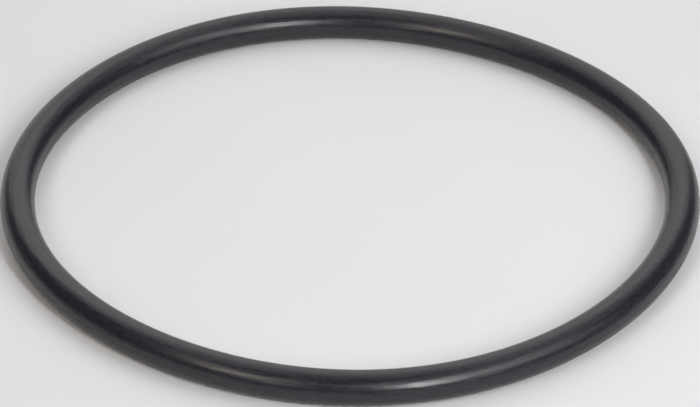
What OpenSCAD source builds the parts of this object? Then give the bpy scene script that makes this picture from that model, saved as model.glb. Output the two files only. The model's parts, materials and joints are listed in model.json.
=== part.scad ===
// A moulded rubber sealing ring of round section, lying flat as it comes to rest.
// It is one solid: the cord's section, with the fine lands that the split of the mould
// leaves on it, carried once round the axis.
// The origin is on the axis, level with the line that the ring rests on, and +Z is the axis.

/* [Ring] */
// Inside diameter, across the bore, measured on the round section
inside_d = 97.5; // [20:0.5:300]
// Diameter of the cord, the ring's round section
cord_d = 5.3; // [2:0.1:9]

/* [Mould split] */
// Height of the trimmed land that the split leaves all round, along the axis
land_h = 0.3; // [0.1:0.05:0.6]
// How far a land stands proud of the round section, into the bore and outwards
land_proud = 0.05; // [0.02:0.01:0.1]

/* [Hidden] */
// Facets of the drawn circles, round the ring and round the cord
ring_facets = 240;
cord_facets = 72;
rubber_black = [0.11, 0.11, 0.12];

// Radius of the line that the middle of the cord follows round the axis
cord_path_r = (inside_d + cord_d) / 2;
// Height of the cord's middle, and of the mould's split, when the ring lies flat
cord_middle_z = cord_d / 2;
// Where the lands end, inside the bore and round the outside
land_inner_r = inside_d / 2 - land_proud;
land_outer_r = inside_d / 2 + cord_d + land_proud;

// The cord's round section, at its place beside the axis
module round_section() {
    translate([cord_path_r, cord_middle_z])
        circle(d = cord_d, $fn = cord_facets);
}

// The two lands are the ends of one thin bar that lies across the section at the split
module mould_split_lands() {
    translate([land_inner_r, cord_middle_z - land_h / 2])
        square([land_outer_r - land_inner_r, land_h]);
}

module o_ring() {
    color(rubber_black)
        rotate_extrude($fn = ring_facets)
            union() {
                round_section();
                mould_split_lands();
            }
}

o_ring();
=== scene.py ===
# %% [markdown]
# # A rubber o-ring on a pale table
# This lesson dresses one closed ring of black rubber, the kind that seals a lid or a pipe joint. The
# imported model gives its true size, so every length comes from that model and nothing is scaled to
# fit. What is left for Blender is what the eye sees: how the cord really lies, what the mould left
# on it, and how the rubber shines. The first cell loads the model.

# %% Load the imported model
import json
import math

import bpy
from mathutils import Matrix, Vector, noise


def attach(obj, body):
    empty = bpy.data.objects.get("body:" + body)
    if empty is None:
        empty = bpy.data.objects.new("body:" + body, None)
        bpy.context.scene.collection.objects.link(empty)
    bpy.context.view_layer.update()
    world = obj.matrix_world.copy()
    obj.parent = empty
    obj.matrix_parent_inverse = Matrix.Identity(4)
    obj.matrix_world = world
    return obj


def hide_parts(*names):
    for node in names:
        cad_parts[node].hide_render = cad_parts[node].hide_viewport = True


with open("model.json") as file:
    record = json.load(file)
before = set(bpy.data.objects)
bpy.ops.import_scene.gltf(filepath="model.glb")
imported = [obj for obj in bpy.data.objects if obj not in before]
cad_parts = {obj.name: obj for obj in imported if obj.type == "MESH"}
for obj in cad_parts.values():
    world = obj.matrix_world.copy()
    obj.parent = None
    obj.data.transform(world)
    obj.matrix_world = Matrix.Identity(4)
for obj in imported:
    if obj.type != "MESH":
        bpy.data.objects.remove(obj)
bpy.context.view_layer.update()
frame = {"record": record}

MM = 0.001

# %% [markdown]
# ## The ring's sizes
# The record names two places where the ring fits against something: the narrow lands in its bore and
# round its outside. Half-way between them is the line that the middle of the cord follows. The cord
# is 5.3 mm thick, and what the lands reach beyond it is how far they stand proud.

# %% Sizes from the record
mounts = {mount["name"]: mount["dims"] for mount in frame["record"]["mounts"] if "dims" in mount}
BORE_LAND_R = mounts["bore"]["r_mm"] * MM
RIM_LAND_R = mounts["outer_rim"]["r_mm"] * MM
LAND_HEIGHT = mounts["bore"]["length_mm"] * MM
CORD_R = 2.65 * MM
PATH_R = (BORE_LAND_R + RIM_LAND_R) / 2
LAND_PROUD = (RIM_LAND_R - BORE_LAND_R) / 2 - CORD_R
print("path radius %.2f mm, lands %.3f mm proud" % (PATH_R / MM, LAND_PROUD / MM))

# %% [markdown]
# ## The camera
# Seen at a slant, a ring is an ellipse, and the near half looks larger than the far half. How much
# larger gives the camera's distance: 0.68 m here, with a long lens, looking down by 33 degrees. The
# camera is made first, because every later choice is judged through it.

# %% Camera
CAMERA_PLACE = Vector((0.0, -566.4, 373.7)) * MM
CAMERA_AIM = Vector((0.1, 1.0, 0.0)) * MM
CAMERA_ROLL = math.radians(0.84)
LENS_MM = 223.9
SENSOR_MM = 36.0

camera_data = bpy.data.cameras.new("camera")
camera_data.sensor_fit = "HORIZONTAL"
camera_data.sensor_width = SENSOR_MM
camera_data.lens = LENS_MM
camera_data.clip_start = 0.01
camera_data.clip_end = 20.0

camera = bpy.data.objects.new("camera", camera_data)
bpy.context.collection.objects.link(camera)
facing = (CAMERA_AIM - CAMERA_PLACE).to_track_quat("-Z", "Y").to_matrix().to_4x4()
camera.matrix_world = Matrix.Translation(CAMERA_PLACE) @ facing @ Matrix.Rotation(CAMERA_ROLL, 4, "Z")
bpy.context.scene.camera = camera
print("camera %.3f m from its aim" % (CAMERA_AIM - CAMERA_PLACE).length)

# %% [markdown]
# ## How the ring lies
# The CAD ring is a true circle, as it will be in its groove. A free ring is soft and keeps a slight
# set from its packing, so it lies a little out of round, though still flat. A few smooth lobes do
# this, each a cosine that goes round a whole number of times, so the ring closes without a step. All
# are under half a millimetre, which is why the solid can stay round.

# %% The line that the cord follows
SET_LOBES = (
    # bulges round the ring, how far out each reaches, direction of the first one in degrees
    (2, 0.055 * MM, -36.5),
    (3, 0.221 * MM, 15.7),
    (4, 0.337 * MM, 11.8),
)


def path_point(turn):
    """The middle of the cord at an angle round the ring's axis."""
    radius = PATH_R
    for bulges, reach, first in SET_LOBES:
        radius += reach * math.cos(bulges * (turn - math.radians(first)))
    return Vector((radius * math.cos(turn), radius * math.sin(turn), CORD_R))


def path_outward(turn):
    """The level direction out of the ring, square to the cord."""
    small_turn = 0.001
    along = path_point(turn + small_turn) - path_point(turn - small_turn)
    return Vector((along.y, -along.x, 0.0)).normalized()


radii = [path_point(math.radians(degree)).xy.length for degree in range(360)]
print("path radius from %.2f to %.2f mm" % (min(radii) / MM, max(radii) / MM))

# %% [markdown]
# ## The section of the cord
# Cut across, the cord is a circle. The mould comes apart in two halves, and a film of rubber creeps
# into the split. When it is trimmed off, a faint land is left in the bore and another round the
# outside. A bevelled curve would give the round cord but not the lands, so the section is a list of
# angles instead, closer together where the lands are.

# %% Angles round the section
# half the width of the slope beside a land, and the steps on each half land and each half cord
LAND_EDGE = 0.10 * MM
LAND_STEPS = 5
ROUND_STEPS = 54


def section_angles():
    """Angles round the cord from its outer side, anticlockwise."""
    reach = math.asin((LAND_HEIGHT / 2 + LAND_EDGE) / CORD_R)
    on_land = [reach * step / LAND_STEPS for step in range(-LAND_STEPS, LAND_STEPS + 1)]
    sweep = math.pi - 2 * reach
    half = on_land + [reach + sweep * step / ROUND_STEPS for step in range(1, ROUND_STEPS)]
    return half + [angle + math.pi for angle in half]


def land_share(angle):
    """1 on a land, 0 on the round cord, and a soft slope between them."""
    height = abs(math.sin(angle)) * CORD_R
    depth = (LAND_HEIGHT / 2 + LAND_EDGE - height) / (2 * LAND_EDGE)
    depth = min(max(depth, 0.0), 1.0)
    return depth * depth * (3 - 2 * depth)


SECTION = section_angles()
print("points in the section:", len(SECTION))

# %% [markdown]
# ## What the trimming left
# The film of rubber tears off by hand or in a cold tumbler, so the land isn't even: in places it is
# nearly gone. Smooth noise does this. It is read on a circle, so that it meets itself after a turn,
# and the bore and the outside read it in different places.

# %% Height of the lands
# the share of the land that is left on average, how far that wanders, and how fine the wandering is
TRIM_LEFT = 0.35
TRIM_WANDER = 0.45
TRIM_MARKS = 40.0


def land_height(turn, angle):
    """How far the land stands proud at a place on the cord."""
    share = land_share(angle)
    if share == 0.0:
        return 0.0
    side = math.copysign(1.0, math.cos(angle))
    place = Vector((math.cos(turn), math.sin(turn), side)) * TRIM_MARKS
    left = TRIM_LEFT + TRIM_WANDER * noise.noise(place)
    return LAND_PROUD * share * max(left, 0.0)


left_over = [land_height(math.radians(degree), 0.0) for degree in range(360)]
print("outer land stands %.3f to %.3f mm proud" % (min(left_over) / MM, max(left_over) / MM))

# %% [markdown]
# ## The mesh of the ring
# The section is carried round the path, 720 times in one turn, and the copies are joined by
# four-sided faces into one closed skin. A curve with a bevel would be quicker, but its section can't
# change on the way round, as the trimmed lands do. The loop also notes where each point is round the
# ring and round the cord, for the next step.

# %% Points and faces
RING_STEPS = 720

points = []
along_ring = []
across_cord = []
for step in range(RING_STEPS):
    turn = 2 * math.pi * step / RING_STEPS
    middle = path_point(turn)
    outward = path_outward(turn)
    for angle in SECTION:
        radius = CORD_R + land_height(turn, angle)
        points.append(middle + (outward * math.cos(angle) + Vector((0, 0, math.sin(angle)))) * radius)
        along_ring += (math.cos(turn), math.sin(turn), 0.0)
        across_cord += (math.cos(angle), math.sin(angle), 0.0)

faces = []
section_points = len(SECTION)
for step in range(RING_STEPS):
    here = step * section_points
    there = (step + 1) % RING_STEPS * section_points
    for corner in range(section_points):
        after = (corner + 1) % section_points
        faces.append((here + corner, there + corner, there + after, here + after))

ring_mesh = bpy.data.meshes.new("ring_surface")
ring_mesh.from_pydata(points, [], faces)
ring_mesh.polygons.foreach_set("use_smooth", [True] * len(faces))
print("ring triangles:", 2 * len(faces))

# %% [markdown]
# ## Directions for the textures
# The marks on the rubber follow the cord, so its textures have to know which way that is. An unwrapped
# map would tell them, but a ring can't be laid flat without two cuts, and each cut would show. So
# every point stores two directions instead. Each is a place on a circle, not an angle, so a texture
# that reads them meets itself with no seam. A third number says how much of the point is land.

# %% Directions stored on the points
LAND_MARK = "land"

for title, numbers in (("along_ring", along_ring), ("across_cord", across_cord)):
    layer = ring_mesh.attributes.new(title, "FLOAT_VECTOR", "POINT")
    layer.data.foreach_set("vector", numbers)
layer = ring_mesh.attributes.new(LAND_MARK, "FLOAT", "POINT")
layer.data.foreach_set("value", [land_share(angle) for angle in SECTION] * RING_STEPS)
print("stored on the points:", [layer.name for layer in ring_mesh.attributes])

# %% [markdown]
# ## The piece takes the solid's place
# The CAD solid stays in the frame for touch and weight. This surface stands for it and rides on the
# same body.

# %% Ring object
ring = bpy.data.objects.new("ring_surface", ring_mesh)
bpy.context.collection.objects.link(ring)
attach(ring, "root")
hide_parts("o_ring")
print("ring size, mm:", [round(size / MM, 2) for size in ring.dimensions])

# %% [markdown]
# ## Helpers for materials
# A material is a small machine of nodes. Two helpers keep the next cells short: one adds a node and
# fills its sockets by name, the other does a piece of arithmetic. Either takes a plain number or the
# output of an earlier node.

# %% Node helpers
def fill(tree, socket, source):
    """Gives a socket a fixed value, or wires another node's output to it."""
    if isinstance(source, bpy.types.NodeSocket):
        tree.links.new(source, socket)
    else:
        socket.default_value = source


def add_node(tree, kind, sockets, **options):
    """Adds a node, sets its options and fills its named sockets."""
    node = tree.nodes.new("ShaderNode" + kind)
    for option, choice in options.items():
        setattr(node, option, choice)
    for name, source in sockets.items():
        fill(tree, node.inputs[name], source)
    return node


def calculate(tree, operation, *terms):
    """The result of one Math node."""
    node = add_node(tree, "Math", {}, operation=operation)
    for socket, term in zip(node.inputs, terms):
        fill(tree, socket, term)
    return node.outputs["Value"]


def rescale(tree, value, low, high, to_low, to_high):
    """The value with low to high stretched to to_low to to_high, and held inside them."""
    node = add_node(tree, "MapRange", {"Value": value, "From Min": low, "From Max": high,
                                       "To Min": to_low, "To Max": to_high})
    return node.outputs["Result"]


print("helpers: fill, add_node, calculate, rescale")

# %% [markdown]
# ## Groups of nodes
# An effect that is wanted more than once is built once, as a group with named sockets. This helper
# makes an empty one. A socket here is a Float for one number or a Vector for a place or direction.

# %% Empty group
def new_group(title, takes, gives):
    """A node group with named inputs and outputs: the group, its inputs and its outputs."""
    group = bpy.data.node_groups.new(title, "ShaderNodeTree")
    for name, kind in takes:
        group.interface.new_socket(name=name, in_out="INPUT", socket_type="NodeSocket" + kind)
    for name, kind in gives:
        group.interface.new_socket(name=name, in_out="OUTPUT", socket_type="NodeSocket" + kind)
    inlet = group.nodes.new("NodeGroupInput").outputs
    outlet = group.nodes.new("NodeGroupOutput").inputs
    return group, inlet, outlet


def use_group(tree, group, **sockets):
    """Places a group in a material. A socket's name is written with _ for each space."""
    node = tree.nodes.new("ShaderNodeGroup")
    node.node_tree = group
    for name, source in sockets.items():
        fill(tree, node.inputs[name.replace("_", " ")], source)
    return node.outputs


print("helpers: new_group, use_group")

# %% [markdown]
# ## Lines that follow the cord
# The two halves of the mould were turned on a lathe, and the ring carries the print of the tool:
# very fine lines that run along the cord. Pulling the ring off its mould and packing it adds short
# streaks and scuffs, and these run the same way. All are long one way and narrow the other, and they
# have to close both round the ring and round the cord. Noise with four coordinates can do that. Two
# of them come from the place round the ring and two from the place round the cord, and the size of
# each circle sets how many marks fit on it.

# %% Group: lathe lines
lathe_lines, inlet, outlet = new_group(
    "lathe_lines",
    (("Along", "Vector"), ("Across", "Vector"), ("Marks Along", "Float"), ("Marks Across", "Float")),
    (("Height", "Float"),))
along = add_node(lathe_lines, "SeparateXYZ", {"Vector": inlet["Along"]}).outputs
across = add_node(lathe_lines, "SeparateXYZ", {"Vector": inlet["Across"]}).outputs
place = add_node(lathe_lines, "CombineXYZ", {
    "X": calculate(lathe_lines, "MULTIPLY", along["X"], inlet["Marks Along"]),
    "Y": calculate(lathe_lines, "MULTIPLY", along["Y"], inlet["Marks Along"]),
    "Z": calculate(lathe_lines, "MULTIPLY", across["X"], inlet["Marks Across"])})
lines = add_node(lathe_lines, "TexNoise", {
    "Vector": place.outputs["Vector"],
    "W": calculate(lathe_lines, "MULTIPLY", across["Y"], inlet["Marks Across"]),
    "Scale": 1.0, "Detail": 2.0, "Roughness": 0.55}, noise_dimensions="4D")
fill(lathe_lines, outlet["Height"], lines.outputs["Fac"])
print("nodes in lathe_lines:", len(lathe_lines.nodes))

# %% [markdown]
# ## Fine grain
# Blasted steel gives moulded rubber a fine even tooth, and a painted board has one too, only
# coarser. Both are the same noise at another size, so one group serves both.

# %% Group: fine grain
fine_grain, inlet, outlet = new_group(
    "fine_grain", (("Place", "Vector"), ("Grain Size", "Float")), (("Height", "Float"),))
grain = add_node(fine_grain, "TexNoise", {
    "Vector": inlet["Place"],
    "Scale": calculate(fine_grain, "DIVIDE", 1.0, inlet["Grain Size"]),
    "Detail": 3.0, "Roughness": 0.6})
fill(fine_grain, outlet["Height"], grain.outputs["Fac"])
print("nodes in fine_grain:", len(fine_grain.nodes))

# %% [markdown]
# ## Soft clouds
# No real surface is even all over. Handling, oil and a faint bloom of wax leave broad patches that
# are a little duller or a little paler than the rest. The group gives a slow mask from 0 to 1.

# %% Group: soft clouds
soft_clouds, inlet, outlet = new_group(
    "soft_clouds", (("Place", "Vector"), ("Cloud Size", "Float")), (("Mask", "Float"),))
clouds = add_node(soft_clouds, "TexNoise", {
    "Vector": inlet["Place"],
    "Scale": calculate(soft_clouds, "DIVIDE", 1.0, inlet["Cloud Size"]),
    "Detail": 2.0, "Roughness": 0.5, "Distortion": 0.6})
CLOUD_LOW, CLOUD_HIGH = 0.28, 0.72
fill(soft_clouds, outlet["Mask"],
     rescale(soft_clouds, clouds.outputs["Fac"], CLOUD_LOW, CLOUD_HIGH, 0.0, 1.0))
print("nodes in soft_clouds:", len(soft_clouds.nodes))

# %% [markdown]
# ## Dust
# Black rubber shows every speck. Space is cut into small cells, each with one point and a chance
# number of its own. Only the cells with a low number hold a speck, which is the part of the surface
# near that cell's point.

# %% Group: dust specks
SPECK_EDGE = 2.0

dust_specks, inlet, outlet = new_group(
    "dust_specks",
    (("Place", "Vector"), ("Cell Size", "Float"), ("Speck Radius", "Float"), ("Cells Used", "Float")),
    (("Mask", "Float"),))
scale = calculate(dust_specks, "DIVIDE", 1.0, inlet["Cell Size"])
cells = add_node(dust_specks, "TexVoronoi", {"Vector": inlet["Place"], "Scale": scale},
                 feature="F1", distance="EUCLIDEAN")
distance = calculate(dust_specks, "MULTIPLY", cells.outputs["Distance"], inlet["Cell Size"])
inside = calculate(dust_specks, "SUBTRACT", 1.0,
                   calculate(dust_specks, "DIVIDE", distance, inlet["Speck Radius"]))
chance = add_node(dust_specks, "SeparateColor", {"Color": cells.outputs["Color"]}).outputs["Red"]
used = calculate(dust_specks, "LESS_THAN", chance, inlet["Cells Used"])
solid = calculate(dust_specks, "MULTIPLY", inside, SPECK_EDGE)
speck = calculate(dust_specks, "MULTIPLY", solid, used)
# from 0 to 1 onto 0 to 1 changes nothing between them, and cuts off what lies outside
fill(dust_specks, outlet["Mask"], rescale(dust_specks, speck, 0.0, 1.0, 0.0, 1.0))
print("nodes in dust_specks:", len(dust_specks.nodes))

# %% [markdown]
# ## Black rubber: what the surface reads
# The material starts from the place of each point and from the directions that the mesh stores. Bloom
# and smears are broad clouds, dust is single specks, and the lines, streaks and scuffs are the same
# group at three sizes. The moulded tooth is the finest, and shows only close up.

# %% Rubber material: coordinates and masks
BLOOM_SIZE = 9.0 * MM
SMEAR_SIZE = 2.4 * MM
DUST_CELL = 2.6 * MM
DUST_RADIUS = 0.13 * MM
DUST_SHARE = 0.06
TOOTH_SIZE = 0.16 * MM
# radius of the circle round the ring and of the one round the cord, measured in marks
LINE_MARKS = {"Marks_Along": 1.6, "Marks_Across": 14.0}
STREAK_MARKS = {"Marks_Along": 10.0, "Marks_Across": 6.0}
SCUFF_MARKS = {"Marks_Along": 60.0, "Marks_Across": 8.5}

rubber = bpy.data.materials.new("black_rubber")
rubber.use_nodes = True
tree = rubber.node_tree
skin = tree.nodes["Principled BSDF"]

place = add_node(tree, "TexCoord", {}).outputs["Object"]
along = add_node(tree, "Attribute", {}, attribute_name="along_ring").outputs["Vector"]
across = add_node(tree, "Attribute", {}, attribute_name="across_cord").outputs["Vector"]
land = add_node(tree, "Attribute", {}, attribute_name=LAND_MARK).outputs["Fac"]

bloom = use_group(tree, soft_clouds, Place=place, Cloud_Size=BLOOM_SIZE)["Mask"]
smears = use_group(tree, soft_clouds, Place=place, Cloud_Size=SMEAR_SIZE)["Mask"]
dust = use_group(tree, dust_specks, Place=place, Cell_Size=DUST_CELL, Speck_Radius=DUST_RADIUS,
                 Cells_Used=DUST_SHARE)["Mask"]
lines = use_group(tree, lathe_lines, Along=along, Across=across, **LINE_MARKS)["Height"]
streaks = use_group(tree, lathe_lines, Along=along, Across=across, **STREAK_MARKS)["Height"]
scuffs = use_group(tree, lathe_lines, Along=along, Across=across, **SCUFF_MARKS)["Height"]
tooth = use_group(tree, fine_grain, Place=place, Grain_Size=TOOTH_SIZE)["Height"]
print("groups in the rubber:", sum(node.type == "GROUP" for node in tree.nodes))

# %% [markdown]
# ## Black rubber: colour
# Carbon black makes the rubber nearly black, with a breath of blue. The bloom lifts it a little
# where it lies, the scuffs and the trimmed lands are greyer, and the specks of dust are pale.

# %% Rubber colour
CARBON_BLACK = (0.0056, 0.0050, 0.0090, 1.0)
BLOOM_GREY = (0.0086, 0.0080, 0.0130, 1.0)
SCUFF_GREY = (0.0175, 0.0168, 0.0235, 1.0)
DUST_GREY = (0.20, 0.19, 0.18, 1.0)
SCUFF_LOW, SCUFF_HIGH = 0.38, 0.62
LAND_SCUFFED = 0.8
RUBBER_IOR = 1.55


def mix_colours(tree, share, first, second):
    """The two colours mixed: all first where the share is 0, all second where it is 1."""
    node = add_node(tree, "Mix", {}, data_type="RGBA")
    # the node has sockets called A and B for every kind of data, so the colours go by number
    fill(tree, node.inputs[0], share)
    fill(tree, node.inputs[6], first)
    fill(tree, node.inputs[7], second)
    return node.outputs[2]


bloomed = mix_colours(tree, bloom, CARBON_BLACK, BLOOM_GREY)
grey_share = calculate(tree, "MAXIMUM", rescale(tree, scuffs, SCUFF_LOW, SCUFF_HIGH, 0.0, 1.0),
                       calculate(tree, "MULTIPLY", land, LAND_SCUFFED))
scuffed = mix_colours(tree, grey_share, bloomed, SCUFF_GREY)
fill(tree, skin.inputs["Base Color"], mix_colours(tree, dust, scuffed, DUST_GREY))
skin.inputs["IOR"].default_value = RUBBER_IOR
print("rubber colour from", CARBON_BLACK[:3], "to", SCUFF_GREY[:3])

# %% [markdown]
# ## Black rubber: shine
# A moulded ring is satin. Its roughness sits near 0.3 and wanders with the smears, the streaks
# and the scuffs. The trimmed lands are duller, and dust has no shine at all. A plain glossy black
# with no such drift is what makes rubber look like plastic.

# %% Rubber roughness
GLOSSIEST, DULLEST = 0.295, 0.325
UNEVEN_SHINE = 0.12
LAND_DULLER = 0.18
MIDDLE_OF_NOISE = 0.5

shine = rescale(tree, smears, 0.0, 1.0, GLOSSIEST, DULLEST)
shine = calculate(tree, "MULTIPLY_ADD", land, LAND_DULLER, shine)
for marks in (streaks, scuffs):
    uneven = calculate(tree, "SUBTRACT", marks, MIDDLE_OF_NOISE)
    shine = calculate(tree, "MULTIPLY_ADD", uneven, UNEVEN_SHINE, shine)
fill(tree, skin.inputs["Roughness"], calculate(tree, "MAXIMUM", shine, dust))
print("roughness about %.2f to %.2f" % (GLOSSIEST, DULLEST))

# %% [markdown]
# ## Black rubber: relief
# The lines and the tooth are a few thousandths of a millimetre high and the streaks a few
# hundredths, too small to be points of the mesh. Three Bump nodes tilt the light for them, each one
# starting from the surface that the one before it left.

# %% Rubber bump
LINE_HEIGHT = 0.009 * MM
STREAK_HEIGHT = 0.055 * MM
TOOTH_HEIGHT = 0.0045 * MM

bump = add_node(tree, "Bump", {"Height": lines, "Distance": LINE_HEIGHT})
for height, distance in ((streaks, STREAK_HEIGHT), (tooth, TOOTH_HEIGHT)):
    bump = add_node(tree, "Bump", {"Height": height, "Distance": distance,
                                   "Normal": bump.outputs["Normal"]})
fill(tree, skin.inputs["Normal"], bump.outputs["Normal"])
ring_mesh.materials.append(rubber)
print("nodes in the rubber:", len(tree.nodes))

# %% [markdown]
# ## The table
# The ring lies on a wide pale board. It is only a stage and not part of the object, so it is one
# large square at the height of the ring's underside. It is wide enough to fill the view from any
# side, which saves a curved backdrop.

# %% Table mesh
TABLE_HALF = 3.0

table_mesh = bpy.data.meshes.new("table")
corners = [(x * TABLE_HALF, y * TABLE_HALF, 0.0) for x, y in ((-1, -1), (1, -1), (1, 1), (-1, 1))]
table_mesh.from_pydata(corners, [], [(0, 1, 2, 3)])
table = bpy.data.objects.new("table", table_mesh)
bpy.context.collection.objects.link(table)
print("table %.0f m wide" % (2 * TABLE_HALF))

# %% [markdown]
# ## Pale painted board
# A table of one flat colour looks like a hole in the picture. Paint on a real board is a little
# uneven, so its colour and its shine drift in faint clouds, and a soft tooth breaks up the light. The
# groups made for the rubber serve here too, at several times the size.

# %% Table material
BOARD_LIGHT = (0.88, 0.88, 0.89, 1.0)
BOARD_DARK = (0.86, 0.86, 0.87, 1.0)
BOARD_CLOUD_SIZE = 60.0 * MM
BOARD_TOOTH_SIZE = 0.8 * MM
BOARD_TOOTH_HEIGHT = 0.01 * MM
BOARD_GLOSSIEST, BOARD_DULLEST = 0.72, 0.80

board = bpy.data.materials.new("pale_board")
board.use_nodes = True
tree = board.node_tree
face = tree.nodes["Principled BSDF"]
place = add_node(tree, "TexCoord", {}).outputs["Object"]
patches = use_group(tree, soft_clouds, Place=place, Cloud_Size=BOARD_CLOUD_SIZE)["Mask"]
tooth = use_group(tree, fine_grain, Place=place, Grain_Size=BOARD_TOOTH_SIZE)["Height"]
fill(tree, face.inputs["Base Color"], mix_colours(tree, patches, BOARD_LIGHT, BOARD_DARK))
fill(tree, face.inputs["Roughness"],
     rescale(tree, patches, 0.0, 1.0, BOARD_GLOSSIEST, BOARD_DULLEST))
bump = add_node(tree, "Bump", {"Height": tooth, "Distance": BOARD_TOOTH_HEIGHT})
fill(tree, face.inputs["Normal"], bump.outputs["Normal"])
table_mesh.materials.append(board)
print("nodes in the board:", len(tree.nodes))

# %% [markdown]
# ## Soft lamps
# A black object shows its lamps more than its colour, so the lamps are placed by their reflections.
# Each is a rectangle that faces the ring. Its power is worked out from how bright it is to look at,
# as a multiple of white, so a lamp can change size without changing its reflection. A strong lamp
# near the table would burn the board under it out to white. In a studio a grid of slats goes in
# front of it and keeps its light to a cone, which is the lamp's spread here.

# %% Softbox
def softbox(name, azimuth, elevation, distance, width, height, brightness, cone, colour):
    """A rectangular lamp that faces the ring, from a direction in degrees and a distance in metres."""
    around, up = math.radians(azimuth), math.radians(elevation)
    towards = Vector((math.cos(up) * math.cos(around), math.cos(up) * math.sin(around), math.sin(up)))
    place = towards * distance
    lamp_data = bpy.data.lights.new(name, "AREA")
    lamp_data.shape = "RECTANGLE"
    lamp_data.size = width
    lamp_data.size_y = height
    # Blender puts the light that the slats would stop into the beam, so the power goes down as much.
    half_cone = math.radians(cone) / 2
    share_kept = 1.0 - half_cone / math.tan(half_cone)
    lamp_data.spread = 2 * half_cone
    lamp_data.energy = brightness * math.pi * width * height * share_kept
    lamp_data.color = colour
    lamp = bpy.data.objects.new(name, lamp_data)
    lamp.location = place
    lamp.rotation_euler = (-place).to_track_quat("-Z", "Y").to_euler()
    lamp.visible_camera = False
    bpy.context.collection.objects.link(lamp)
    return lamp


print("helper: softbox")

# %% [markdown]
# ## Where the lamps stand
# The cord bends through every direction, so it mirrors the whole studio in narrow bands. The small
# bright key makes the hot spot at the front, and a warm lamp makes the long soft gleam to its left.
# The wide dim ones at the back and overhead draw the grey bands along the top. Ten lamps are more than
# a plain object needs, but each stands for one band that can be pointed at, and together they light a
# white card about as white as it is. Only the three near lamps at the front right have a grid.

# %% Lamps
WHITE = (1.0, 1.0, 1.0)
WARM = (1.0, 0.90, 0.77)
# the full angle of a lamp's cone in degrees, behind a grid and without one
GRID = 90.0
OPEN = 180.0
SOFTBOXES = (
    # name, azimuth, elevation, distance, width, height, brightness, cone, colour
    ("key", -66, 32.5, 0.54, 0.066, 0.22, 26.0, GRID, WHITE),
    ("key_side", -48, 34, 0.64, 0.32, 0.30, 2.0, GRID, WHITE),
    ("right_fill", -21, 37, 0.64, 0.34, 0.36, 1.85, GRID, WHITE),
    ("warm", -130.5, 42, 1.2, 0.31, 0.37, 6.4, OPEN, WARM),
    ("warm_tail", -116, 25, 1.2, 0.24, 0.20, 3.2, OPEN, WHITE),
    ("back", 93, 16, 1.9, 2.25, 1.0, 0.68, OPEN, WHITE),
    ("back_high", 95, 42, 1.5, 1.2, 0.5, 0.52, OPEN, WHITE),
    ("top", 2, 59, 0.32, 1.2, 0.16, 0.55, OPEN, WHITE),
    ("top_left", -160, 57, 2.0, 0.5, 0.55, 1.4, OPEN, WHITE),
    ("top_back", 108, 60, 0.38, 0.36, 0.42, 0.74, OPEN, WHITE),
)
for box in SOFTBOXES:
    softbox(*box)
print("lamps:", len(SOFTBOXES))

# %% [markdown]
# ## The room
# Round the lamps the room is dim and even. Without it the sides that face no lamp would be pure
# black, which is never so in a real room.

# %% Room light
ROOM_COLOUR = (0.95, 0.95, 1.0, 1.0)
ROOM_BRIGHTNESS = 0.11

world = bpy.data.worlds.new("studio")
world.use_nodes = True
room = world.node_tree.nodes["Background"]
room.inputs["Color"].default_value = ROOM_COLOUR
room.inputs["Strength"].default_value = ROOM_BRIGHTNESS
bpy.context.scene.world = world
bpy.context.scene.view_settings.view_transform = "Standard"
print("room brightness:", ROOM_BRIGHTNESS)
